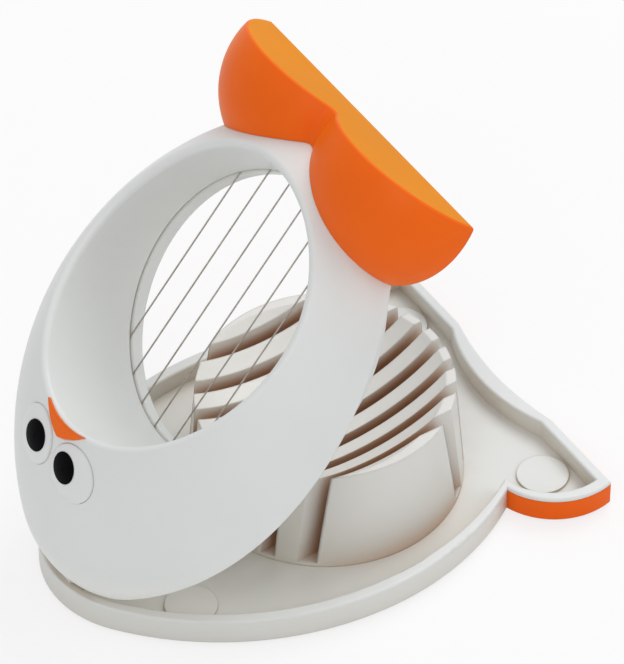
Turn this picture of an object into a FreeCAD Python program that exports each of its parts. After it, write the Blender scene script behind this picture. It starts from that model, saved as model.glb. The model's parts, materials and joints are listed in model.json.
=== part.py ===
import FreeCAD, Part
import math
import os
import re

import Sketcher

# Egg slicer shaped like a resting bird: a shallow tray with a slotted egg cradle, and a domed lid
# hinged at the bird's head that carries the cutting wires.
# Frame: X from the head (hinge) to the tail (handle), +Z up, origin under the middle of the tray.
# The lid's pieces are drawn closed and then turned about the hinge by rest_angle.

V = FreeCAD.Vector
doc = FreeCAD.newDocument("egg_slicer")
dims = doc.addObject("Spreadsheet::Sheet", "dims")

SIZES = [
    ("tray_bottom", 0.5, "underside of the tray above the table"),
    ("tray_front", 50.1, "origin to the tip of the tray's nose"),
    ("tray_half", 36.2, "half width of the tray's body"),
    ("tray_wide_x", 2.0, "where the body is widest"),
    ("tray_nose_r", 21.0, "radius of the nose in plan"),
    ("lobe_long", 17.4, "length of a tail lobe, notch to rear edge"),
    ("notch_in", 9.7, "notch inside the body's half width"),
    ("lobe_r", 14.3, "radius of a tail lobe in plan"),
    ("tail_x", 50.9, "rear edge of the lobes"),
    ("tip_in", 0.5, "outer corner of a lobe inside the body's half width"),
    ("lobe_flat", 19.9, "straight rear edge of a lobe"),
    ("tail_dip_r", 63.4, "radius of the shallow hollow between the lobes"),
    ("rim_top", 5.9, "top of the rim"),
    ("floor_top", 1.9, "tray floor"),
    ("rim_side", 2.4, "rim width along the sides"),
    ("rim_nose", 2.0, "rim width at the nose"),
    ("rim_round", 0.5, "rounded edges of the rim"),
    ("rim_tail", 2.1, "rim width round the lobes"),
    ("tail_dip_in_r", 37.0, "radius of the hollow inside the rim"),
    ("disc_r", 5.0, "raised floor disc over a rubber foot"),
    ("disc_rise", 0.5, "height of that disc"),
    ("pad_r", 4.2, "rubber foot"),
    ("pad_inset", 1.0, "depth of the foot's recess"),
    ("pad_fit", 0.05, "gap round a foot"),
    ("pad_nose_in", 19.3, "front feet behind the nose"),
    ("pad_front_y", 17.2, "front feet off the middle"),
    ("pad_tail_in", 7.7, "rear feet inside the lobes' rear edge"),
    ("pad_side_in", 11.4, "rear feet inside the lobes' corners"),
    ("trim_wall", 1.2, "thickness of the coloured lobe trim"),
    ("trim_lip", 0.8, "rim's lip over the trim"),
    ("trim_fit", 0.05, "gap between trim and tray"),
    ("hinge_in", 2.9, "hinge axis inside the nose"),
    ("hinge_rise", 2.3, "hinge axis above the rim"),
    ("pin_r", 0.75, "hinge pin"),
    ("pin_cap", 0.3, "knuckle beyond the pin's end"),
    ("pin_play", 0.2, "gap at the pin's end"),
    ("pin_fit", 0.02, "pin in the tray's lug"),
    ("pin_run", 0.06, "lid knuckles on the pin"),
    ("barrel_r", 1.5, "hinge lug and knuckles"),
    ("lug_half", 3.6, "half width of the tray's lug"),
    ("lug_gap", 0.3, "gap beside the lug"),
    ("knuckle_long", 3.6, "length of a lid knuckle"),
    ("nose_relief", 0.7, "lid's front edge below the hinge axis"),
    ("rest_angle", 50.0, "opening shown at rest"),
    ("ring_back", 39.9, "centre of the wire frame ahead of the dome's rear"),
    ("ring_gap", 0.8, "wire frame's opening round the cradle"),
    ("ring_wide", 4.8, "width of the wire frame"),
    ("ring_high", 2.7, "height of the wire frame"),
    ("ring_drop", 1.0, "wire frame's top below the lid's edge"),
    ("ear_r", 3.4, "screw ears of the wire frame"),
    ("ear_out", 5.8, "screws outside the frame's opening"),
    ("ear_rear_deg", 30.0, "angle of the rear screws"),
    ("ear_front_deg", 128.0, "angle of the front screws"),
    ("post_r", 2.8, "screw posts of the lid"),
    ("screw_r", 1.1, "frame screw shank"),
    ("screw_head_r", 2.0, "frame screw head"),
    ("screw_head", 1.2, "frame screw head height"),
    ("screw_long", 6.0, "frame screw shank length"),
    ("screw_fit", 0.03, "gap round a screw shank"),
    ("screw_tip", 0.3, "gap beyond the end of a screw"),
    ("head_gap", 0.1, "gap round a screw's head"),
    ("wire_r", 0.16, "cutting wire"),
    ("wire_pitch", 5.7, "distance between cuts"),
    ("wire_count", 8, "parallel runs of wire"),
    ("wire_hold", 2.2, "wire turns outside the frame's opening"),
    ("wire_fit", 0.02, "gap above and below the wire in the seam"),
    ("ferrule_r", 0.75, "crimp on a wire end"),
    ("ferrule_long", 2.4, "length of the crimp"),
    ("ferrule_fit", 0.05, "gap round a crimp"),
    ("ferrule_gap", 0.3, "gap at a crimp's ends"),
    ("crimp_fit", 0.01, "crimp on the wire"),
    ("wire_stub", 0.1, "wire beyond its crimp"),
    ("wire_tail", 1.2, "wire between its last turn and its crimp"),
    ("lid_gap", 0.4, "closed lid above the rim"),
    ("window_round", 1.1, "rounded edge of the window"),
    ("lid_set", 0.7, "lid's front behind the tray's nose"),
    ("lid_short", 0.9, "dome's rear inside the lobes' rear edge"),
    ("lid_over", 0.3, "dome beyond the tray's side"),
    ("lid_wide_x", 0.2, "where the dome is widest"),
    ("lid_nose_r", 25.0, "radius of the dome's front in plan"),
    ("lid_tail_r", 28.0, "radius of the dome's rear in plan"),
    ("dome_rise", 26.8, "height of the dome above its edge"),
    ("shell_wall", 2.0, "wall of the dome and of the window's sleeve"),
    ("sleeve_back", 0.4, "window sleeve outside the frame's opening"),
    ("mouth_back", 0.9, "sleeve's upper section behind the wire frame's centre"),
    ("mouth_over", 4.2, "sleeve's upper section above the dome"),
    ("mouth_more", 3.8, "upper section longer than the sleeve's lower end"),
    ("mouth_less", 3.1, "upper section narrower than that end"),
    ("mouth_tilt", 14.9, "slope of that section towards the tail"),
    ("eye_back", 23.35, "eyes behind the lid's front"),
    ("eye_y", 6.15, "eyes off the middle"),
    ("eye_r", 5.6, "outline of an eye on the dome"),
    ("eye_rise", 1.4, "bulge of an eye"),
    ("eye_seat", 1.2, "depth of an eye in its socket"),
    ("pupil_r", 3.0, "pupil"),
    ("pupil_depth", 0.9, "depth of the pupil's socket"),
    ("pupil_proud", 0.1, "pupil above the eye"),
    ("pupil_turn", 7.0, "pupils turned towards the middle"),
    ("pupil_lift", 3.0, "pupils turned towards the beak"),
    ("face_fit", 0.05, "gap round an eye"),
    ("beak_back", 3.55, "point of the beak behind the eyes"),
    ("beak_long", 3.1, "length of the beak on the middle"),
    ("beak_half", 6.2, "half width of the beak"),
    ("beak_sweep", 1.05, "how far the beak's corners run back"),
    ("beak_side_r", 14.1, "radius of the beak's sides"),
    ("beak_rise", 0.4, "beak above the dome"),
    ("beak_seat", 1.2, "depth of the beak in the dome"),
    ("grip_out", 0.2, "centre of the handle's lobes behind the dome"),
    ("grip_y", 15.0, "lobe centres off the middle"),
    ("grip_half_x", 17.5, "lobe half length"),
    ("grip_half_y", 18.8, "lobe half width"),
    ("grip_rise", 16.6, "lobe height"),
    ("grip_sole", 3.9, "flat rear face of the handle behind the lobes' centre"),
    ("grip_wall", 2.2, "wall of the handle"),
    ("grip_crease", 2.0, "soft hollow between the handle's lobes"),
    ("grip_round", 0.6, "rounded edges of the handle's rear face"),
    ("grip_fit", 0.05, "handle on the dome"),
    ("grip_screw_y", 9.0, "handle screws off the middle"),
    ("grip_screw_z", 5.0, "handle screws above the lid's edge"),
    ("grip_screw_r", 1.0, "handle screw shank"),
    ("grip_head_r", 1.9, "handle screw head"),
    ("grip_head", 1.2, "handle screw head height"),
    ("seat_room", 3.7, "handle screw seats behind the window's sleeve"),
    ("screw_cover", 2.7, "handle behind the end of its screws"),
    ("grip_boss_r", 2.8, "boss round a handle screw"),
    ("cradle_fore", 0.3, "cradle ahead of the wire frame's centre"),
    ("cradle_r", 26.4, "cradle at the floor"),
    ("cradle_draft", 4.8, "slope of the cradle's sides, degrees"),
    ("cradle_web", 0.8, "plate under the slots"),
    ("cradle_high", 24.0, "cradle's top above the table on its centre"),
    ("cradle_tilt", 1.0, "rise of the top towards the tail, degrees"),
    ("cradle_gap", 0.5, "cradle inside the swinging frame"),
    ("slot_wide", 2.4, "slots for the wires"),
    ("seat_fore", 3.8, "egg seat's centre ahead of the cradle's"),
    ("seat_up", 14.0, "egg seat's centre above the cradle's top"),
    ("seat_half_x", 34.0, "egg seat half length"),
    ("seat_half_y", 30.0, "egg seat half width"),
    ("seat_depth", 22.0, "egg seat depth below its centre"),
    ("peg_r", 2.0, "locating pegs of the cradle"),
    ("peg_short", 0.1, "pegs short of the tray's underside"),
    ("peg_fit", 0.05, "gap round a peg"),
]
# What seats on, lines up with or clears another piece follows that piece
TIES = {
    "notch_x": "tail_x - lobe_long",
    "notch_y": "tray_half - notch_in",
    "lobe_tip_y": "tray_half - tip_in",
    "lobe_in_y": "lobe_tip_y - lobe_flat",
    "pad_front_x": "tray_front - pad_nose_in",
    "pad_rear_x": "tail_x - pad_tail_in",
    "pad_rear_y": "lobe_tip_y - pad_side_in",
    "trim_top": "rim_top - trim_lip",
    "hinge_x": "tray_front - hinge_in",
    "hinge_z": "rim_top + hinge_rise",
    "pin_half": "knuckle_end - pin_cap",
    "knuckle_end": "lug_half + lug_gap + knuckle_long",
    "ring_x": "lid_rear - ring_back",
    "ring_hole_r": "cradle_r + ring_gap",
    "ring_bottom": "ring_top - ring_high",
    "ring_top": "lid_z - ring_drop",
    "ear_circle": "ring_hole_r + ear_out",
    "wire_turn": "ring_hole_r + wire_hold",
    "lid_z": "rim_top + lid_gap",
    "lid_front": "tray_front - lid_set",
    "lid_rear": "tail_x - lid_short",
    "lid_half": "tray_half + lid_over",
    "sleeve_r": "ring_hole_r + sleeve_back",
    "mouth_x": "ring_x + mouth_back",
    "mouth_z": "lid_z + dome_rise + mouth_over",
    "mouth_half_x": "sleeve_r + mouth_more",
    "mouth_half_y": "sleeve_r - mouth_less",
    "eye_x": "lid_front - eye_back",
    "beak_tip_x": "eye_x - beak_back",
    "beak_edge_x": "beak_tip_x - beak_long",
    "grip_x": "lid_rear + grip_out",
    "grip_rear": "grip_x + grip_sole",
    "grip_screw_seat": "ring_x + sleeve_r + shell_wall + seat_room",
    "grip_screw_long": "grip_rear - grip_screw_seat - screw_cover",
    "cradle_x": "ring_x - cradle_fore",
    "seat_x": "cradle_x - seat_fore",
    "seat_z": "cradle_high + seat_up",
    "peg_y": "3 * wire_pitch",
}
for row, (alias, value, note) in enumerate(SIZES, 1):
    dims.set("A%d" % row, alias)
    dims.set("B%d" % row, str(value))
    dims.set("C%d" % row, note)
    dims.setAlias("B%d" % row, alias)
doc.recompute()

WORD = re.compile(r"\b[a-z]+_[a-z_]+\b")
ALIASES = {row[0] for row in SIZES}


def ex(text):
    """Expression over the sheet's names, with the tied ones written out."""
    def written_out(found):
        word = found.group()
        if word in TIES:
            return "(%s)" % ex(TIES[word])
        return "dims." + word if word in ALIASES else word
    return WORD.sub(written_out, str(text))


def size(text):
    """Value of such an expression."""
    return float(dims.evalExpression(ex(text)))


def new_body(name):
    return doc.addObject("PartDesign::Body", name)


def new_sketch(body, name, plane="XY_Plane", lift=None):
    """Sketch on one of the body's own planes, raised by lift."""
    sketch = body.newObject("Sketcher::SketchObject", name)
    base = [f for f in body.Origin.OriginFeatures if f.Role == plane][0]
    sketch.AttachmentSupport = (base, "")
    sketch.MapMode = "FlatFace"
    if lift is not None:
        sketch.setExpression("AttachmentOffset.Base.z", ex(lift))
    return sketch


def fix(sketch, kind, refs, expression):
    """Dimension bound to the sheet."""
    index = sketch.addConstraint(Sketcher.Constraint(kind, *refs, size(expression)))
    sketch.setExpression("Constraints[%d]" % index, ex(expression))


def place_point(sketch, geo, pos, x, y):
    for kind, axis, value in (("DistanceX", -2, x), ("DistanceY", -1, y)):
        if abs(size(value)) < 1e-9:
            sketch.addConstraint(Sketcher.Constraint("PointOnObject", geo, pos, axis))
        else:
            fix(sketch, kind, (-1, 1, geo, pos), value)


def outline(sketch, corners, closed=True):
    """Run of edges. A corner is (x, y, bend): bend shapes the edge leaving it, None for a straight
    one or (radius, turn) for an arc that turns left (1) or right (-1)."""
    points = [V(size(x), size(y), 0) for x, y, bend in corners]
    ends = []
    for i, (x, y, bend) in enumerate(corners if closed else corners[:-1]):
        start, end = points[i], points[(i + 1) % len(points)]
        if bend is None:
            geo = sketch.addGeometry(Part.LineSegment(start, end), False)
            ends.append((geo, 1, 2))
            continue
        radius, turn = bend
        chord = end - start
        side = V(-chord.y, chord.x, 0).normalize()
        value = size(radius)
        sagitta = value - math.sqrt(value ** 2 - (chord.Length / 2) ** 2)
        middle = (start + end) / 2 - side * (turn * sagitta)
        first, last = (start, end) if turn > 0 else (end, start)
        geo = sketch.addGeometry(Part.ArcOfCircle(first, middle, last), False)
        ends.append((geo, 1, 2) if turn > 0 else (geo, 2, 1))
    for i, (geo, first, last) in enumerate(ends if closed else ends[:-1]):
        after = ends[(i + 1) % len(ends)]
        sketch.addConstraint(Sketcher.Constraint("Coincident", geo, last, after[0], after[1]))
    for (x, y, bend), (geo, first, last) in zip(corners, ends):
        place_point(sketch, geo, first, x, y)
        if bend is not None:
            fix(sketch, "Radius", (geo,), bend[0])
    if not closed:
        place_point(sketch, ends[-1][0], ends[-1][2], corners[-1][0], corners[-1][1])


def circle(sketch, x, y, radius):
    geo = sketch.addGeometry(Part.Circle(V(size(x), size(y), 0), V(0, 0, 1), size(radius)), False)
    place_point(sketch, geo, 3, x, y)
    fix(sketch, "Radius", (geo,), radius)


def pad(body, sketch, length, name, flip=False, middle=False):
    feature = body.newObject("PartDesign::Pad", name)
    feature.Profile = sketch
    feature.setExpression("Length", ex(length))
    feature.Reversed = flip
    feature.Midplane = middle
    return feature


def pocket(body, sketch, length, name, flip=False, middle=False):
    feature = body.newObject("PartDesign::Pocket", name)
    feature.Profile = sketch
    feature.setExpression("Length", ex(length))
    feature.Reversed = flip
    feature.Midplane = middle
    return feature


def stand(item, base, turn=None):
    """Turn a piece, then bind its position to the sheet."""
    if turn is not None:
        item.Placement = FreeCAD.Placement(V(), turn)
    for axis, expression in zip("xyz", base):
        item.setExpression("Placement.Base." + axis, ex(expression))
    return item


def primitive(kind, name, sizes, base=(), turn=None):
    """Part primitive with its sizes and position bound to the sheet."""
    item = doc.addObject("Part::" + kind, name)
    for prop, expression in sizes.items():
        item.setExpression(prop, ex(expression))
    return stand(item, base, turn)


def fuse(name, pieces):
    item = doc.addObject("Part::MultiFuse", name)
    item.Shapes = pieces
    return item


def cut(name, base, tool):
    item = doc.addObject("Part::Cut", name)
    item.Base, item.Tool = base, tool
    return item


def common(name, first, second):
    item = doc.addObject("Part::Common", name)
    item.Base, item.Tool = first, second
    return item


def compound(name, pieces):
    item = doc.addObject("Part::Compound", name)
    item.Links = pieces
    return item


def edges_where(shape, test):
    """Numbers of the edges all along which test holds."""
    found = []
    for number, edge in enumerate(shape.Edges, 1):
        span = edge.LastParameter - edge.FirstParameter
        points = [edge.valueAt(edge.FirstParameter + span * part) for part in (0.02, 0.25, 0.5, 0.75, 0.98)]
        if edge.Length > 0.01 and all(test(point) for point in points):
            found.append(number)
    return found


def rounded(name, base, radius, test):
    doc.recompute()
    item = doc.addObject("Part::Fillet", name)
    item.Base = base
    item.Edges = [(number, size(radius), size(radius)) for number in edges_where(base.Shape, test)]
    return item


def on_faces(shape, point):
    vertex = Part.Vertex(point)
    return min(vertex.distToShape(face)[0] for face in shape.Faces) < 0.02


ALONG_X = FreeCAD.Rotation(V(0, 1, 0), 90)
ALONG_Y = FreeCAD.Rotation(V(1, 0, 0), -90)
nodes = {}
lid_nodes = []


def node(name, item, on_lid=False):
    item.Label = name
    nodes[name] = item
    if on_lid:
        lid_nodes.append(name)


def nose_arcs(front, radius, half, wide):
    """Nose arc run into a flank arc that is level at the widest point: flank radius, joint x, joint y."""
    centre = "(%s - (%s))" % (radius, front)
    reach = "(%s - %s)" % (wide, centre)
    flank = "((%s^2 + (%s)^2 - (%s)^2) / (2 * (%s - (%s))))" % (reach, half, radius, half, radius)
    part = "((%s) / (%s - (%s)))" % (radius, flank, radius)
    return flank, "(%s - %s * %s)" % (centre, reach, part), "((%s - (%s)) * %s)" % (flank, half, part)


# Tray
def tray_plan(sketch, front, nose, half, notch_at, notch_half, lobe, rear, tip, inner, dip):
    flank, joint_x, joint_y = nose_arcs(front, nose, half, "tray_wide_x")
    drop = "(%s - (%s))" % (half, notch_half)
    back = "(((%s) - tray_wide_x)^2 + %s^2) / (2 * %s)" % (notch_at, drop, drop)
    outline(sketch, [
        (joint_x, joint_y, (nose, 1)),
        (joint_x, "-" + joint_y, (flank, 1)),
        ("tray_wide_x", "-(%s)" % half, (back, 1)),
        (notch_at, "-(%s)" % notch_half, (lobe, 1)),
        (rear, "-(%s)" % tip, None),
        (rear, "-(%s)" % inner, (dip, -1)),
        (rear, inner, None),
        (rear, tip, (lobe, 1)),
        (notch_at, notch_half, (back, 1)),
        ("tray_wide_x", half, (flank, 1)),
    ])


FOOT_SPOTS = [("-pad_front_x", "pad_front_y"), ("-pad_front_x", "-pad_front_y"),
              ("pad_rear_x", "pad_rear_y"), ("pad_rear_x", "-pad_rear_y")]
PEG_SPOTS = [("cradle_x", "peg_y"), ("cradle_x", "-peg_y")]


def trim_plan(sketch, side, slack):
    """Band round one tail lobe, from the notch to the inner end of the lobe's rear edge."""
    wall = "(trim_wall + %s)" % slack
    turn = side
    sign = "" if side > 0 else "-"
    chord_x, chord_y = "(tail_x - notch_x)", "(lobe_tip_y - notch_y)"
    chord = "sqrt(%s^2 + %s^2)" % (chord_x, chord_y)
    depth = "sqrt(lobe_r^2 - (%s / 2)^2)" % chord
    centre_x = "((tail_x + notch_x) / 2 + %s / %s * %s)" % (chord_y, chord, depth)
    centre_y = "((lobe_tip_y + notch_y) / 2 - %s / %s * %s)" % (chord_x, chord, depth)
    shrink = "((lobe_r - %s) / lobe_r)" % wall
    start_x = "(%s + (notch_x - %s) * %s)" % (centre_x, centre_x, shrink)
    start_y = "(%s + (notch_y - %s) * %s)" % (centre_y, centre_y, shrink)
    inner_x = "(tail_x - %s)" % wall
    inner_y = "(%s + sqrt((lobe_r - %s)^2 - (%s - %s)^2))" % (centre_y, wall, inner_x, centre_x)
    outline(sketch, [
        ("notch_x", sign + "notch_y", ("lobe_r", -turn)),
        ("tail_x", sign + "lobe_tip_y", None),
        ("tail_x", sign + "lobe_in_y", None),
        (inner_x, sign + "lobe_in_y", None),
        (inner_x, sign + inner_y, ("lobe_r - " + wall, turn)),
        (start_x, sign + start_y, None),
    ])


tray = new_body("TrayBody")
plan = new_sketch(tray, "TrayPlan", lift="tray_bottom")
tray_plan(plan, "tray_front", "tray_nose_r", "tray_half", "notch_x", "notch_y", "lobe_r", "tail_x",
          "lobe_tip_y", "lobe_in_y", "tail_dip_r")
pad(tray, plan, "rim_top - tray_bottom", "TrayBlock")
hollow = new_sketch(tray, "TrayHollow", lift="rim_top")
tray_plan(hollow, "(tray_front - rim_nose)", "(tray_nose_r - rim_nose)", "(tray_half - rim_side)",
          "(notch_x + rim_tail / 2)", "(notch_y - rim_side)", "(lobe_r - rim_tail)", "(tail_x - rim_tail)",
          "(lobe_tip_y - rim_tail)", "(lobe_in_y - rim_tail / 5)", "tail_dip_in_r")
walls = pocket(tray, hollow, "rim_top - floor_top", "TrayInside")
doc.recompute()
brim = size("rim_top")
rim_edges = edges_where(walls.Shape, lambda point: abs(point.z - brim) < 1e-4)
smooth = tray.newObject("PartDesign::Fillet", "RimRound")
smooth.Base = (walls, ["Edge%d" % number for number in rim_edges])
smooth.setExpression("Radius", ex("rim_round"))
discs = new_sketch(tray, "FloorDiscs", lift="floor_top")
for x, y in FOOT_SPOTS:
    circle(discs, x, y, "disc_r")
pad(tray, discs, "disc_rise", "FloorDiscPads")
recess = new_sketch(tray, "FootRecess", lift="tray_bottom")
for x, y in FOOT_SPOTS:
    circle(recess, x, y, "pad_r + pad_fit")
pocket(tray, recess, "pad_inset", "FootRecesses", flip=True)
holes = new_sketch(tray, "PegHolePlan", lift="tray_bottom")
for x, y in PEG_SPOTS:
    circle(holes, x, y, "peg_r + peg_fit")
pocket(tray, holes, "rim_top", "PegHoles", flip=True)
for side, word in ((1, "Right"), (-1, "Left")):
    band = new_sketch(tray, "TrimRecess" + word, lift="tray_bottom")
    trim_plan(band, side, "trim_fit")
    pocket(tray, band, "trim_top + trim_fit - tray_bottom", "TrimRecessCut" + word, flip=True)
lug = new_sketch(tray, "LugPlan", plane="XZ_Plane")
outline(lug, [
    ("-hinge_x - barrel_r", "tray_bottom", None),
    ("-hinge_x + barrel_r", "tray_bottom", None),
    ("-hinge_x + barrel_r", "hinge_z", ("barrel_r", 1)),
    ("-hinge_x", "hinge_z + barrel_r", ("barrel_r", 1)),
    ("-hinge_x - barrel_r", "hinge_z", None),
])
pad(tray, lug, "2 * lug_half", "Lug", middle=True)
bore = new_sketch(tray, "PinBorePlan", plane="XZ_Plane")
circle(bore, "-hinge_x", "hinge_z", "pin_r + pin_fit")
last_cut = pocket(tray, bore, "3 * lug_half", "PinBore", middle=True)
tray.Tip = last_cut
node("base_tray", tray)

for side, word in ((1, "right"), (-1, "left")):
    trim = new_body("Trim" + word.title())
    band = new_sketch(trim, "TrimPlan" + word.title(), lift="tray_bottom")
    trim_plan(band, side, "0")
    pad(trim, band, "trim_top - tray_bottom", "TrimBand" + word.title())
    node("foot_trim_" + word, trim)

pad_size = {"Radius": "pad_r", "Height": "tray_bottom + pad_inset"}
pads = [primitive("Cylinder", "Pad%d" % i, pad_size, (x, y, "0")) for i, (x, y) in enumerate(FOOT_SPOTS)]
node("rubber_feet", compound("RubberFeet", pads))

pin = primitive("Cylinder", "HingePin", {"Radius": "pin_r", "Height": "2 * pin_half"},
                ("-hinge_x", "-pin_half", "hinge_z"), ALONG_Y)
node("hinge_pin", pin)

# Egg cradle: a slotted cup whose sides stay inside the path of the swinging wire frame
cup = new_body("CradleBody")
foot = new_sketch(cup, "CradleFoot", lift="floor_top")
circle(foot, "cradle_x", "0", "cradle_r")
block = pad(cup, foot, "cradle_high + cradle_r - floor_top", "CradleBlock")
block.setExpression("TaperAngle", ex("-cradle_draft"))
slope = new_sketch(cup, "CradleTopPlan", plane="XZ_Plane")
rise = "2 * cradle_r * tan(cradle_tilt)"
outline(slope, [
    ("cradle_x - 2 * cradle_r", "cradle_high - " + rise, None),
    ("cradle_x + 2 * cradle_r", "cradle_high + " + rise, None),
    ("cradle_x + 2 * cradle_r", "cradle_high + 2 * cradle_r", None),
    ("cradle_x - 2 * cradle_r", "cradle_high + 2 * cradle_r", None),
])
pocket(cup, slope, "4 * cradle_r", "CradleTop", middle=True)
seat = cup.newObject("PartDesign::SubtractiveEllipsoid", "EggSeat")
seat.AttachmentSupport = ([f for f in cup.Origin.OriginFeatures if f.Role == "XY_Plane"][0], "")
seat.MapMode = "FlatFace"
for prop, expression in (("Radius1", "seat_depth"), ("Radius2", "seat_half_x"), ("Radius3", "seat_half_y"),
                         ("AttachmentOffset.Base.x", "seat_x"), ("AttachmentOffset.Base.z", "seat_z")):
    seat.setExpression(prop, ex(expression))
slit = new_sketch(cup, "SlotPlan", lift="floor_top + cradle_web")
first = "(-(wire_count - 1) / 2 * wire_pitch"
outline(slit, [
    ("cradle_x - 2 * cradle_r", first + " - slot_wide / 2)", None),
    ("cradle_x + 2 * cradle_r", first + " - slot_wide / 2)", None),
    ("cradle_x + 2 * cradle_r", first + " + slot_wide / 2)", None),
    ("cradle_x - 2 * cradle_r", first + " + slot_wide / 2)", None),
])
slot = pocket(cup, slit, "2 * cradle_high", "Slot", flip=True)
slots = cup.newObject("PartDesign::LinearPattern", "Slots")
slots.Originals = [slot]
slots.Direction = (slit, ["V_Axis"])
slots.setExpression("Length", ex("(wire_count - 1) * wire_pitch"))
slots.setExpression("Occurrences", ex("wire_count"))
cup.Tip = slots
stubs = new_sketch(cup, "PegPlan", lift="floor_top")
for x, y in PEG_SPOTS:
    circle(stubs, x, y, "peg_r")
cup.Tip = pad(cup, stubs, "floor_top - tray_bottom - peg_short", "Pegs", flip=True)
arm_drop = "(hinge_z - (ring_top + ring_bottom) / 2)"
path = primitive("Torus", "FramePath", {
    "Radius1": "sqrt((hinge_x + ring_x)^2 + %s^2)" % arm_drop,
    "Radius2": "ring_hole_r - cradle_gap",
}, ("-hinge_x", "0", "hinge_z"), ALONG_Y)
node("egg_cradle", common("EggCradle", cup, path))


# Lid shell: a low dome over the egg's room, with an oval window through its top
def dome(name, grow):
    """Solid dome, full above and below the lid's edge; grow moves its skin outwards."""
    body = new_body(name + "Body")
    half = "(lid_half + (%s))" % grow
    nose, joint_x, joint_y = nose_arcs("(lid_front + (%s))" % grow, "(lid_nose_r + (%s))" % grow, half,
                                       "lid_wide_x")
    tail, back_x, back_y = nose_arcs("(lid_rear + (%s))" % grow, "(lid_tail_r + (%s))" % grow, half,
                                     "(-lid_wide_x)")
    profile = new_sketch(body, name + "Profile")
    outline(profile, [
        ("-(lid_front + (%s))" % grow, "0", None),
        ("lid_rear + (%s)" % grow, "0", ("lid_tail_r + (%s)" % grow, 1)),
        ("-" + back_x, back_y, (tail, 1)),
        ("lid_wide_x", half, (nose, 1)),
        (joint_x, joint_y, ("lid_nose_r + (%s)" % grow, 1)),
    ])
    turned = body.newObject("PartDesign::Revolution", name + "Turned")
    turned.Profile = profile
    turned.ReferenceAxis = (profile, ["H_Axis"])
    turned.Angle = 360
    flat = doc.addObject("Part::Scale", name)
    flat.Base = body
    flat.Uniform = False
    flat.XScale = 1
    flat.YScale = 1
    flat.setExpression("ZScale", ex("(dome_rise + (%s)) / %s" % (grow, half)))
    flat.setExpression("Placement.Base.z", ex("lid_z"))
    return flat


def dome_point(x, y):
    """Point of the dome's skin over (x, y), and the way out of it there."""
    flank = size(nose_arcs("lid_front", "lid_nose_r", "lid_half", "lid_wide_x")[0])
    half, wide = size("lid_half"), size("lid_wide_x")
    flat = size("dome_rise / lid_half")
    run = math.sqrt(flank ** 2 - (x - wide) ** 2)
    reach = half - flank + run
    up = math.sqrt(reach ** 2 - y ** 2)
    normal = V(reach * (x - wide) / run, y, up / flat).normalize()
    return V(x, y, size("lid_z") + flat * up), normal


def sleeve(name, grow):
    """Window sleeve: round at the wire frame, oval and tilted where it leaves the dome."""
    low = doc.addObject("Part::Circle", name + "Low")
    low.setExpression("Radius", ex("sleeve_r + (%s)" % grow))
    low.setExpression("Placement.Base.x", ex("ring_x"))
    low.setExpression("Placement.Base.z", ex("ring_top + 2 * (wire_r + wire_fit)"))
    high = doc.addObject("Part::Ellipse", name + "High")
    high.setExpression("MajorRadius", ex("mouth_half_x + (%s)" % grow))
    high.setExpression("MinorRadius", ex("mouth_half_y + (%s)" % grow))
    high.Placement = FreeCAD.Placement(V(), FreeCAD.Rotation(V(0, 1, 0), size("mouth_tilt")))
    high.setExpression("Placement.Rotation.Angle", ex("mouth_tilt"))
    high.setExpression("Placement.Base.x", ex("mouth_x"))
    high.setExpression("Placement.Base.z", ex("mouth_z"))
    loft = doc.addObject("Part::Loft", name)
    loft.Sections = [low, high]
    loft.Solid = True
    loft.Ruled = True
    return loft


EAR_SPOTS = [("ring_x + ear_circle * cos(%s)" % angle, "%sear_circle * sin(%s)" % (sign, angle))
             for angle in ("ear_rear_deg", "ear_front_deg") for sign in ("", "-")]
GRIP_SCREWS = ["grip_screw_y", "-grip_screw_y"]
GRIP_SCREW_Z = "lid_z + grip_screw_z"


def room(name, corner, extent, turn=None):
    return primitive("Box", name, dict(zip(("Length", "Width", "Height"), extent)), corner, turn)


def post(name, radius, height, base, turn=None):
    return primitive("Cylinder", name, {"Radius": radius, "Height": height}, base, turn)


def bolt(name, shank_r, shank, head_r, head, base, turn):
    """Slotted screw; base is where the head meets the shank, which runs along the turned Z axis."""
    stem = post(name + "Stem", shank_r, shank, ("0", "0", "0"))
    top = post(name + "Head", head_r, head, ("0", "0", "-(%s)" % head))
    slit_cut = room(name + "Slit", ("-2 * (%s)" % head_r, "-(%s) / 6" % head_r, "-(%s)" % head),
                    ("4 * (%s)" % head_r, "(%s) / 3" % head_r, "(%s) / 2" % head))
    return stand(cut(name, fuse(name + "Blank", [stem, top]), slit_cut), base, turn)


skin = dome("DomeSkin", "0")
inside = dome("DomeInside", "-shell_wall")
lid_room = room("LidRoom", ("-2 * lid_rear", "-2 * lid_half", "lid_z"),
                ("4 * lid_rear", "4 * lid_half", "2 * lid_half"))
cap = cut("DomeCap", common("DomeUpper", skin, lid_room), inside)
tube = common("SleeveTube", sleeve("SleeveOut", "shell_wall"), skin)
posts = [post("ScrewPost%d" % i, "post_r", "dome_rise", (x, y, "ring_top"))
         for i, (x, y) in enumerate(EAR_SPOTS)]
seats = [post("GripSeat%d" % i, "grip_boss_r", "lid_rear - grip_screw_seat",
              ("grip_screw_seat", y, GRIP_SCREW_Z), ALONG_X) for i, y in enumerate(GRIP_SCREWS)]
inner_bits = common("ShellInnerBits", fuse("ShellBits", posts + seats), skin)
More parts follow.
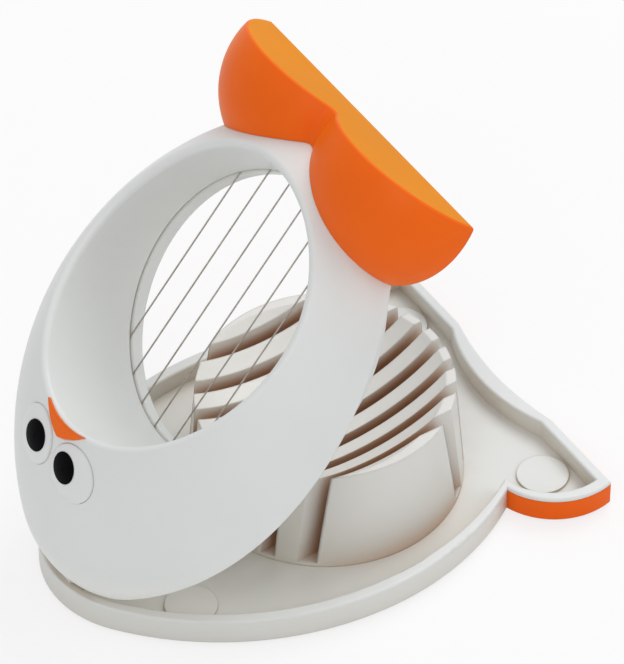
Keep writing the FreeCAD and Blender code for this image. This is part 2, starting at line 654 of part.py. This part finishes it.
# The lid's front edge is raised round the hinge so that it swings past the rim
relief = room("NoseRelief", ("-hinge_x - lid_half", "-2 * lid_half", "hinge_z - nose_relief - lid_half"),
              ("lid_half", "4 * lid_half", "lid_half"))
trimmed = cut("ShellTrimmed", fuse("ShellSolid", [cap, tube, inner_bits]), relief)
knuckle_blank = post("KnuckleBlank", "barrel_r", "2 * knuckle_end",
                     ("-hinge_x", "-knuckle_end", "hinge_z"), ALONG_Y)
web = room("KnuckleWeb", ("-hinge_x - barrel_r", "-knuckle_end", "hinge_z"),
           ("3 * barrel_r", "2 * knuckle_end", "2 * barrel_r"))
knuckles = common("Knuckles", fuse("KnuckleSolid", [knuckle_blank, web]), skin)
lug_room = room("LugRoom", ("-hinge_x - 2 * knuckle_end", "-lug_half - lug_gap", "hinge_z - 2 * knuckle_end"),
                ("2 * knuckle_end + barrel_r + lug_gap", "2 * (lug_half + lug_gap)",
                 "2 * knuckle_end + barrel_r + lug_gap"))
bored = sleeve("SleeveIn", "0")
open_shell = cut("ShellOpen", fuse("ShellHung", [trimmed, knuckles]), bored)
doc.recompute()
hung = rounded("ShellRounded", open_shell, "window_round",
               lambda point: point.z > size("lid_z + shell_wall") and on_faces(skin.Shape, point)
               and on_faces(bored.Shape, point))

# Face: two bulging eyes with dark pupils and a beak, all let into the dome
eye_ball = "((eye_r^2 + eye_rise^2) / (2 * eye_rise))"
below_eye = dome("EyeFloor", "-eye_seat")
above_beak = dome("BeakTop", "beak_rise")
below_beak = dome("BeakFloor", "-beak_seat")
face_cuts = []
eye_rooms = []
for side, word in ((1, "right"), (-1, "left")):
    spot, out = dome_point(-size("eye_x"), side * size("eye_y"))
    turn = FreeCAD.Rotation(V(0, 0, 1), out)
    centre = spot - out * (size(eye_ball) - size("eye_rise"))
    plug_high = "2 * eye_seat + 3 * eye_rise"
    plug, socket = [primitive("Cylinder", kind + word, {"Radius": radius, "Height": plug_high})
                    for kind, radius in (("EyePlug", "eye_r"), ("EyeRoom", "eye_r + face_fit"))]
    for item in (plug, socket):
        item.Placement = FreeCAD.Placement(spot - out * size("2 * eye_seat"), turn)
    ball = primitive("Sphere", "EyeBall" + word, {"Radius": eye_ball})
    ball.Placement = FreeCAD.Placement(centre, turn)
    button = cut("EyeButton" + word, common("EyeCap" + word, plug, ball), below_eye)
    gaze = FreeCAD.Rotation(V(1, 0, 0), side * size("pupil_turn"))
    look = FreeCAD.Rotation(V(0, 1, 0), size("pupil_lift")).multiply(gaze).multVec(out)
    aim = FreeCAD.Rotation(V(0, 0, 1), look)
    hole = primitive("Cylinder", "PupilHole" + word, {"Radius": "pupil_r", "Height": "2 * eye_rise"})
    hole.Placement = FreeCAD.Placement(centre + look * size(eye_ball + " - pupil_depth"), aim)
    lens = primitive("Sphere", "PupilBall" + word, {"Radius": eye_ball + " + pupil_proud"})
    lens.Placement = FreeCAD.Placement(centre, aim)
    node("eye_" + word, cut("Eye" + word, button, hole), True)
    node("pupil_" + word, common("Pupil" + word, hole, lens), True)
    face_cuts.append(cut("EyeSocket" + word, socket, below_eye))
    eye_rooms.append(socket)

beak_prism = new_body("BeakPrism")
beak_plan = new_sketch(beak_prism, "BeakPlan", lift="lid_z + dome_rise / 2")
sweep_r = "((beak_half^2 + beak_sweep^2) / (2 * beak_sweep))"
outline(beak_plan, [
    ("-beak_tip_x", "0", ("beak_side_r", 1)),
    ("-beak_edge_x + beak_sweep", "-beak_half", (sweep_r, -1)),
    ("-beak_edge_x + beak_sweep", "beak_half", ("beak_side_r", 1)),
])
pad(beak_prism, beak_plan, "dome_rise", "BeakColumn")
beak_blank = cut("BeakBlank", common("BeakUpper", beak_prism, above_beak), below_beak)
node("beak", cut("Beak", beak_blank, fuse("EyeRooms", eye_rooms)), True)
face_cuts.append(cut("BeakSocket", beak_prism, below_beak))

SCREW_SEAT = "(ring_bottom + screw_head + head_gap)"
tools = face_cuts + [
    lug_room,
    post("KnuckleBore", "pin_r + pin_run", "4 * knuckle_end",
         ("-hinge_x", "-pin_half - pin_play", "hinge_z"), ALONG_Y),
]
tools += [post("FrameScrewHole%d" % i, "screw_r + screw_fit", "screw_long + screw_tip", (x, y, SCREW_SEAT))
          for i, (x, y) in enumerate(EAR_SPOTS)]
for i, y in enumerate(GRIP_SCREWS):
    tools += [
        post("GripScrewHole%d" % i, "grip_screw_r + screw_fit", "grip_screw_long",
             ("grip_screw_seat", y, GRIP_SCREW_Z), ALONG_X),
        post("GripHeadRoom%d" % i, "grip_head_r + head_gap", "seat_room",
             ("grip_screw_seat - seat_room", y, GRIP_SCREW_Z), ALONG_X),
    ]
node("lid_shell", cut("LidShell", hung, fuse("ShellCuts", tools)), True)


# Handle: the bird's two feet, hollow underneath and screwed to the dome's rear
def lobes(name, grow):
    balls = [primitive("Ellipsoid", name + word, {
        "Radius1": "grip_rise + (%s)" % grow,
        "Radius2": "grip_half_x + (%s)" % grow,
        "Radius3": "grip_half_y + (%s)" % grow,
        "Angle1": "-90", "Angle2": "90", "Angle3": "360",
    }, ("grip_x", sign + "grip_y", "lid_z")) for word, sign in (("Right", ""), ("Left", "-"))]
    return rounded(name + "Soft", fuse(name, balls), "grip_crease", lambda point: abs(point.y) < 1e-3)


grip_span = "(4 * grip_half_y)"
grip_room = room("GripRoom", ("grip_rear - " + grip_span, "-" + grip_span, "lid_z"),
                 (grip_span, "2 * " + grip_span, grip_span))
grip_void = room("GripVoid", ("grip_rear - grip_wall - " + grip_span, "-" + grip_span, "lid_z - grip_rise"),
                 (grip_span, "2 * " + grip_span, grip_span))
grip_block = common("GripBlock", lobes("GripLobes", "0"), grip_room)
grip_hollow = cut("GripShell", grip_block, common("GripInside", lobes("GripInner", "-grip_wall"), grip_void))
stems = common("GripStems", fuse("GripBosses", [
    post("GripBoss%d" % i, "grip_boss_r", "grip_rear - grip_screw_seat - grip_wall / 2",
         ("grip_screw_seat", y, GRIP_SCREW_Z), ALONG_X) for i, y in enumerate(GRIP_SCREWS)]), grip_block)
bores = [post("GripBore%d" % i, "grip_screw_r + screw_fit", "grip_screw_long + screw_tip",
              ("grip_screw_seat", y, GRIP_SCREW_Z), ALONG_X) for i, y in enumerate(GRIP_SCREWS)]
grip_cut = cut("GripCut", fuse("GripSolid", [grip_hollow, stems]),
               fuse("GripCuts", bores + [dome("GripFace", "grip_fit")]))
sole_x = size("grip_rear")
node("handle", rounded("Handle", grip_cut, "grip_round", lambda point: abs(point.x - sole_x) < 1e-4), True)
node("handle_screws", compound("HandleScrews", [
    bolt("GripScrew%d" % i, "grip_screw_r", "grip_screw_long", "grip_head_r", "grip_head",
         ("grip_screw_seat", y, GRIP_SCREW_Z), ALONG_X) for i, y in enumerate(GRIP_SCREWS)]), True)

# Wire frame under the lid
ring = new_body("RingBody")
ring_plan = new_sketch(ring, "RingPlan", lift="ring_bottom")
circle(ring_plan, "ring_x", "0", "ring_hole_r + ring_wide")
pad(ring, ring_plan, "ring_top - ring_bottom", "RingDisc")
ears = new_sketch(ring, "EarPlan", lift="ring_bottom")
for x, y in EAR_SPOTS:
    circle(ears, x, y, "ear_r")
pad(ring, ears, "ring_top - ring_bottom", "Ears")
opening = new_sketch(ring, "RingOpeningPlan", lift="ring_bottom")
circle(opening, "ring_x", "0", "ring_hole_r")
for x, y in EAR_SPOTS:
    circle(opening, x, y, "screw_r + screw_fit")
pocket(ring, opening, "ring_top", "RingOpening", flip=True)
sinks = new_sketch(ring, "ScrewSinkPlan", lift="ring_bottom")
for x, y in EAR_SPOTS:
    circle(sinks, x, y, "screw_head_r + head_gap")
ring.Tip = pocket(ring, sinks, "screw_head + head_gap", "ScrewSinks", flip=True)

run_y = ["((wire_count - 1) / 2 - %d) * wire_pitch" % i for i in range(int(size("wire_count")))]
wire_z = "(ring_top + wire_r + wire_fit)"
end_x = "(ring_x - sqrt(wire_turn^2 - (%s)^2) - ferrule_long - wire_tail)"
grooves = [post("FerruleGroove%d" % i, "ferrule_r + ferrule_fit", "ferrule_long + 2 * ferrule_gap",
                ((end_x + " + wire_stub - ferrule_gap") % y, y, wire_z), ALONG_X)
           for i, y in enumerate((run_y[0], run_y[-1]))]
node("wire_frame", cut("WireFrame", ring, fuse("FerruleGrooves", grooves)), True)
node("frame_screws", compound("FrameScrews", [
    bolt("FrameScrew%d" % i, "screw_r", "screw_long", "screw_head_r", "screw_head", (x, y, SCREW_SEAT),
         FreeCAD.Rotation()) for i, (x, y) in enumerate(EAR_SPOTS)]), True)

# One strand of wire runs to and fro across the opening
strand = new_body("StrandBody")
strand_path = new_sketch(strand, "StrandPath", lift=wire_z)
stops = []
for i, y in enumerate(run_y):
    reach = "sqrt(wire_turn^2 - (%s)^2)" % y
    pair = [("ring_x - " + reach, y, None), ("ring_x + " + reach, y, None)]
    stops += pair if i % 2 == 0 else pair[::-1]
stops[0] = (end_x % run_y[0], run_y[0], None)
stops[-1] = (end_x % run_y[-1], run_y[-1], None)
outline(strand_path, stops, closed=False)
strand_end = new_sketch(strand, "StrandSection", plane="YZ_Plane", lift=end_x % run_y[0])
circle(strand_end, run_y[0], wire_z, "wire_r")
drawn = strand.newObject("PartDesign::AdditivePipe", "Strand")
drawn.Profile = strand_end
drawn.Spine = (strand_path, ["Edge%d" % (i + 1) for i in range(len(stops) - 1)])
drawn.Transition = "Round corner"
strand.Tip = drawn
node("cutting_wire", strand, True)
crimps = []
for i, y in enumerate((run_y[0], run_y[-1])):
    tube_out = post("CrimpOut%d" % i, "ferrule_r", "ferrule_long",
                    ((end_x + " + wire_stub") % y, y, wire_z), ALONG_X)
    tube_in = post("CrimpIn%d" % i, "wire_r + crimp_fit", "3 * ferrule_long",
                   ((end_x + " - ferrule_long") % y, y, wire_z), ALONG_X)
    crimps.append(cut("Crimp%d" % i, tube_out, tube_in))
node("wire_ferrules", compound("WireFerrules", crimps), True)

doc.recompute()
hinge = V(-size("hinge_x"), 0, size("hinge_z"))
swing = FreeCAD.Placement(V(), FreeCAD.Rotation(V(0, -1, 0), size("rest_angle")), hinge)
for name in lid_nodes:
    item = nodes[name]
    item.Placement = swing.multiply(item.Placement)
doc.recompute()

for item in doc.Objects:
    if "Invalid" in item.State or "Error" in item.State:
        raise RuntimeError("%s: %s" % (item.Name, item.getStatusString()))
os.makedirs("parts", exist_ok=True)
for name, item in nodes.items():
    if item.Shape.isNull() or not item.Shape.isValid():
        raise RuntimeError("bad shape: " + name)
    item.Shape.exportStep("parts/%s.step" % name)
    box = item.Shape.optimalBoundingBox()
    print("%-16s %d solid(s) %9.1f mm3  x %.1f..%.1f  y %.1f..%.1f  z %.1f..%.1f" % (
        name, len(item.Shape.Solids), item.Shape.Volume,
        box.XMin, box.XMax, box.YMin, box.YMax, box.ZMin, box.ZMax))
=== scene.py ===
import json
import math

import bpy
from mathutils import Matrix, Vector

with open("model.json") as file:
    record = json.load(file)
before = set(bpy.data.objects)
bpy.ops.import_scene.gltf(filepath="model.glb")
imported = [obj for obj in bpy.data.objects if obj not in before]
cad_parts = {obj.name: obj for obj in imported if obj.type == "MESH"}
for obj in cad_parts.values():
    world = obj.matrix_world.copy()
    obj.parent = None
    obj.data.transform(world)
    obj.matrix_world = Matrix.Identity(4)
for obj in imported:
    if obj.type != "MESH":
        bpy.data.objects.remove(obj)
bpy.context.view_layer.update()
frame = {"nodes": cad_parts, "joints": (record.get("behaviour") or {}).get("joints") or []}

# Lengths are in metres, noise scales in clouds per metre, lamp power in watts
NODES = frame["nodes"]
LID_CLOSED = frame["joints"][0]["range_deg"][0]
LID_OPEN = math.radians(-LID_CLOSED)  # the lid's opening at rest

# Sockets of a Mix node that mixes colours
MIX_SHARE, MIX_FIRST, MIX_SECOND, MIX_RESULT = 0, 6, 7, 2

# Painted light and shade in white plastic's hollows: its reach, and the shares of open sky where it is full
# and where it ends
DISH_REACH, DISH_FULL, DISH_END = 0.06, 0.3, 0.85
SLOT_REACH, SLOT_FULL, SLOT_END = 0.012, 0.06, 0.6
SHADE_SAMPLES = 8

CLOUD_STOPS = (0.3, 0.7)  # where the noise of a mottled colour starts and ends
GRAIN_STRENGTH = 0.25
EDGE_SAMPLES = 6
MOULD_EDGE = 0.0003  # rounding of a moulding's edges
SLAB_EDGE = 0.0006  # rounding of the cradle's slabs

# Gloss of orange plastic and of the handle's flat sole
ORANGE_GLOSS, SOLE_GLOSS = 0.1, 0.02
SOLE_START, SOLE_FULL = 0.9, 0.99  # cosine of a face's angle to the sole where its look starts and is full
SOLE_DEEP = 0.94  # the sole's darker clouds

FLOOR_SIZE = 6.0
FLOOR_DROP = 0.0002  # below the feet
FLOOR_DEEP = 0.98  # the floor's darker clouds
SKY_FILL, SKY_SEEN = 0.54, 1.0  # the sky's strength as a lamp and as a background
LAMP_SIZE = 0.6
LAMP_AIM = Vector((0.0, 0.0, 0.03))

VIEW_AIM = Vector((0.02865, 0.03422, 0.0))
VIEW_UP = math.radians(43.76)
VIEW_ROUND = math.radians(32.61)
VIEW_FAR = 1.0
VIEW_NEAR_CLIP = 0.01
LENS_MM, SENSOR_MM = 276.5, 36.0


# Node helpers
class Nodes:
    """A node tree with short ways to add and join nodes."""

    def __init__(self, tree):
        self.tree = tree

    def add(self, kind, **settings):
        """New node; each setting is one of its properties or else an input, with _ for a space."""
        item = self.tree.nodes.new(kind)
        for key, value in settings.items():
            if hasattr(item, key):
                setattr(item, key, value)
            else:
                item.inputs[key.replace("_", " ")].default_value = value
        return item

    def join(self, source, target):
        self.tree.links.new(source, target)

    def scaled(self, source, low, high, start=0.0, end=1.0):
        """The source's start to end as low to high."""
        item = self.add("ShaderNodeMapRange", From_Min=start, From_Max=end, To_Min=low, To_Max=high)
        self.join(source, item.inputs["Value"])
        return item.outputs["Result"]

    def seen(self):
        """1 for the rays that show a background: from the camera, or by way of gloss or clear material."""
        ray = self.add("ShaderNodeLightPath")
        either = ray.outputs["Is Camera Ray"]
        for kind in ("Is Glossy Ray", "Is Transmission Ray"):
            larger = self.add("ShaderNodeMath", operation="MAXIMUM")
            self.join(either, larger.inputs[0])
            self.join(ray.outputs[kind], larger.inputs[1])
            either = larger.outputs["Value"]
        return either


class Look(Nodes):
    """A material built from a Principled shader."""

    def __init__(self, name, **inputs):
        """Inputs are the shader's plain values, with _ for a space."""
        self.material = bpy.data.materials.new(name)
        self.material.use_nodes = True
        super().__init__(self.material.node_tree)
        self.shader = self.tree.nodes["Principled BSDF"]
        for key, value in inputs.items():
            self.shader.inputs[key.replace("_", " ")].default_value = value

    def noise(self, scale, detail=3.0):
        place = self.add("ShaderNodeTexCoord")
        item = self.add("ShaderNodeTexNoise", Scale=scale, Detail=detail)
        self.join(place.outputs["Object"], item.inputs["Vector"])
        return item.outputs["Fac"]

    def clouds(self, deep, light, scale, stops=CLOUD_STOPS):
        """Mottled colour between two close shades."""
        item = self.add("ShaderNodeValToRGB")
        for stop, colour, place in zip(item.color_ramp.elements, (deep, light), stops):
            stop.color = tuple(colour) + (1.0,)
            stop.position = place
        self.join(self.noise(scale), item.inputs["Fac"])
        return item.outputs["Color"]

    def blend(self, share, first, second):
        """First to second by the share; first may be a plain colour."""
        item = self.add("ShaderNodeMix", data_type="RGBA")
        if isinstance(first, tuple):
            item.inputs[MIX_FIRST].default_value = first + (1.0,)
        else:
            self.join(first, item.inputs[MIX_FIRST])
        self.join(share, item.inputs[MIX_SHARE])
        self.join(second, item.inputs[MIX_SECOND])
        return item.outputs[MIX_RESULT]

    def open_sky(self, reach, full, end):
        """0 in a hollow, 1 where the sky is open within reach; it masks the painted light and shade of
        hollows.
        """
        sky = self.add("ShaderNodeAmbientOcclusion", samples=SHADE_SAMPLES, Distance=reach)
        return self.scaled(sky.outputs["AO"], 0.0, 1.0, full, end)

    def facing(self, way):
        """1 on the flat face that looks that way."""
        place = self.add("ShaderNodeTexCoord")
        turn = self.add("ShaderNodeVectorMath", operation="DOT_PRODUCT")
        turn.inputs[1].default_value = way
        self.join(place.outputs["Normal"], turn.inputs[0])
        return self.scaled(turn.outputs["Value"], 0.0, 1.0, SOLE_START, SOLE_FULL)

    def colour(self, source):
        self.join(source, self.shader.inputs["Base Color"])

    def rough(self, smooth, coarse, scale):
        """Roughness in clouds from smooth to coarse."""
        self.join(self.scaled(self.noise(scale), smooth, coarse), self.shader.inputs["Roughness"])

    def grain(self, scale, depth, edge=None):
        """Fine surface grain, over softly rounded edges."""
        bump = self.add("ShaderNodeBump", Strength=GRAIN_STRENGTH, Distance=depth)
        self.join(self.noise(scale, detail=2.0), bump.inputs["Height"])
        if edge:
            soft = self.add("ShaderNodeBevel", samples=EDGE_SAMPLES, Radius=edge)
            self.join(soft.outputs["Normal"], bump.inputs["Normal"])
        self.join(bump.outputs["Normal"], self.shader.inputs["Normal"])


# Materials
def white_plastic(name, light, deep, dish_painted_shading, slot_painted_shade, edge=MOULD_EDGE, dish_end=DISH_END):
    """Moulded white plastic, with painted light and shade in its wide hollows (lighter on the lid, warm
    shade on the tray and cradle) and painted shade in its slots and corners.
    """
    look = Look(name, Specular_IOR_Level=0.35)
    plain = look.clouds(deep, light, scale=60.0)
    # Painted light and shade in the wide hollows: a lighter fill in the lid's sleeve, warm shade on the
    # tray and cradle
    plain = look.blend(look.open_sky(DISH_REACH, DISH_FULL, dish_end), dish_painted_shading, plain)
    # Painted shade in the slots and corners, warm brown in the cradle's slots
    plain = look.blend(look.open_sky(SLOT_REACH, SLOT_FULL, SLOT_END), slot_painted_shade, plain)
    look.colour(plain)
    look.rough(smooth=0.3, coarse=0.42, scale=45.0)
    look.grain(scale=1400.0, depth=0.00006, edge=edge)
    return look.material


def orange_plastic(name, light, deep, sole=None):
    """Moulded orange plastic; the handle's flat sole, where its colour is given, is duller and has a paler
    colour that is painted light.
    """
    look = Look(name, Specular_IOR_Level=ORANGE_GLOSS, Sheen_Weight=0.2, Sheen_Roughness=0.35,
                Sheen_Tint=(1.0, 0.42, 0.03, 1.0))
    plain = look.clouds(deep, light, scale=50.0)
    if sole:
        # Painted light: the flat sole, which faces up and back towards the top lamp, gets a paler colour
        flat = look.facing((math.cos(LID_OPEN), 0.0, math.sin(LID_OPEN)))
        sole_painted_light = look.clouds(tuple(SOLE_DEEP * c for c in sole), sole, scale=50.0)
        plain = look.blend(flat, plain, sole_painted_light)
        look.join(look.scaled(flat, ORANGE_GLOSS, SOLE_GLOSS), look.shader.inputs["Specular IOR Level"])
    look.colour(plain)
    look.rough(smooth=0.34, coarse=0.46, scale=40.0)
    look.grain(scale=1300.0, depth=0.00006, edge=MOULD_EDGE)
    return look.material


def metal(name, light, deep, smooth, coarse):
    """Bare metal."""
    look = Look(name, Metallic=1.0)
    look.colour(look.clouds(deep, light, scale=900.0))
    look.rough(smooth, coarse, scale=700.0)
    look.grain(scale=2500.0, depth=0.00003)
    return look.material


def dark_plastic(name, light, deep, smooth, coarse, gloss):
    """Black plastic or rubber."""
    look = Look(name, Specular_IOR_Level=gloss)
    look.colour(look.clouds(deep, light, scale=200.0))
    look.rough(smooth, coarse, scale=160.0)
    look.grain(scale=1500.0, depth=0.00003)
    return look.material


# The dish colours are painted light and shade for the wide hollows, and the slot colours are painted shade
LID = white_plastic("lid_plastic", light=(0.77, 0.79, 0.78), deep=(0.75, 0.77, 0.76),
                    dish_painted_shading=(0.88, 0.88, 0.84), slot_painted_shade=(0.68, 0.66, 0.62), dish_end=0.62)
TRAY = white_plastic("tray_plastic", light=(0.75, 0.77, 0.77), deep=(0.73, 0.75, 0.75),
                     dish_painted_shading=(0.72, 0.70, 0.64), slot_painted_shade=(0.50, 0.40, 0.30))
CRADLE = white_plastic("cradle_plastic", light=(0.76, 0.76, 0.74), deep=(0.74, 0.74, 0.72),
                       dish_painted_shading=(0.74, 0.71, 0.64), slot_painted_shade=(0.43, 0.165, 0.04), edge=SLAB_EDGE)
# The sole colour is painted light on the handle's upward-facing sole
HANDLE = orange_plastic("orange_plastic", light=(0.93, 0.15, 0.009), deep=(0.88, 0.13, 0.007),
                        sole=(0.80, 0.26, 0.002))
TRIM = orange_plastic("orange_trim", light=(0.90, 0.135, 0.006), deep=(0.86, 0.12, 0.005))
BEAK = orange_plastic("beak_plastic", light=(0.95, 0.16, 0.012), deep=(0.91, 0.15, 0.01))
BLACK = dark_plastic("black_plastic", light=(0.003, 0.003, 0.004), deep=(0.0015, 0.0015, 0.002),
                     smooth=0.25, coarse=0.35, gloss=0.02)
RUBBER = dark_plastic("rubber", light=(0.03, 0.03, 0.03), deep=(0.02, 0.02, 0.02),
                      smooth=0.7, coarse=0.85, gloss=0.1)
STEEL = metal("steel", light=(0.62, 0.62, 0.63), deep=(0.5, 0.5, 0.51), smooth=0.25, coarse=0.4)
WIRE = metal("wire", light=(0.42, 0.38, 0.34), deep=(0.30, 0.27, 0.24), smooth=0.3, coarse=0.45)

FINISHES = {
    "base_tray": TRAY, "egg_cradle": CRADLE, "foot_trim_left": TRIM, "foot_trim_right": TRIM,
    "rubber_feet": RUBBER, "hinge_pin": STEEL, "lid_shell": LID, "wire_frame": LID, "cutting_wire": WIRE,
    "wire_ferrules": STEEL, "frame_screws": STEEL, "handle": HANDLE, "handle_screws": STEEL, "beak": BEAK,
    "eye_left": LID, "eye_right": LID, "pupil_left": BLACK, "pupil_right": BLACK,
}
for name, finish in FINISHES.items():
    mesh = NODES[name].data
    mesh.materials.clear()
    mesh.materials.append(finish)


# Stage
def floor_material(name, colour, glow_share):
    """Pale floor that looks almost white and keeps a light shadow."""
    look = Look(name, Specular_IOR_Level=0.0)
    look.colour(look.clouds(tuple(FLOOR_DEEP * c for c in colour), colour, scale=3.0, stops=(0.0, 1.0)))
    look.rough(smooth=0.85, coarse=0.95, scale=8.0)
    glow = look.add("ShaderNodeEmission")
    pick = look.add("ShaderNodeMixShader")
    look.join(look.scaled(look.seen(), 0.0, glow_share), pick.inputs["Fac"])
    look.join(look.shader.outputs["BSDF"], pick.inputs[1])
    look.join(glow.outputs["Emission"], pick.inputs[2])
    look.join(pick.outputs["Shader"], look.tree.nodes["Material Output"].inputs["Surface"])
    return look.material


bpy.ops.mesh.primitive_plane_add(size=FLOOR_SIZE, location=(0.0, 0.0, -FLOOR_DROP))
floor = bpy.context.object
floor.name = "floor"
floor.data.materials.append(floor_material("floor", colour=(0.9, 0.9, 0.9), glow_share=0.75))

world = bpy.data.worlds.new("studio")
bpy.context.scene.world = world
world.use_nodes = True
sky = world.node_tree.nodes["Background"]
sky.inputs["Color"].default_value = (1.0, 1.0, 1.0, 1.0)
studio = Nodes(world.node_tree)
studio.join(studio.scaled(studio.seen(), SKY_FILL, SKY_SEEN), sky.inputs["Strength"])


def aim(item, spot, target):
    """Stand a lamp or camera at the spot and turn it to the target."""
    item.location = spot
    item.rotation_euler = (target - Vector(spot)).to_track_quat("-Z", "Y").to_euler()
    bpy.context.scene.collection.objects.link(item)


def lamp(name, spot, power):
    """Round soft lamp."""
    data = bpy.data.lights.new(name, "AREA")
    data.shape = "DISK"
    data.size = LAMP_SIZE
    data.energy = power
    aim(bpy.data.objects.new(name, data), spot, LAMP_AIM)


lamp("key", spot=(-0.55, -0.45, 0.75), power=2.0)
lamp("top", spot=(0.5, 0.25, 0.8), power=3.3)
lamp("side", spot=(0.6, -0.6, 0.6), power=1.2)

# Camera
view = bpy.data.cameras.new("camera")
view.lens = LENS_MM
view.sensor_width = SENSOR_MM
view.clip_start = VIEW_NEAR_CLIP
camera = bpy.data.objects.new("camera", view)
level = math.cos(VIEW_UP)
outward = Vector((-math.sin(VIEW_ROUND) * level, -math.cos(VIEW_ROUND) * level, math.sin(VIEW_UP)))
aim(camera, VIEW_AIM + VIEW_FAR * outward, VIEW_AIM)
bpy.context.scene.camera = camera
bpy.context.scene.view_settings.view_transform = "Standard"
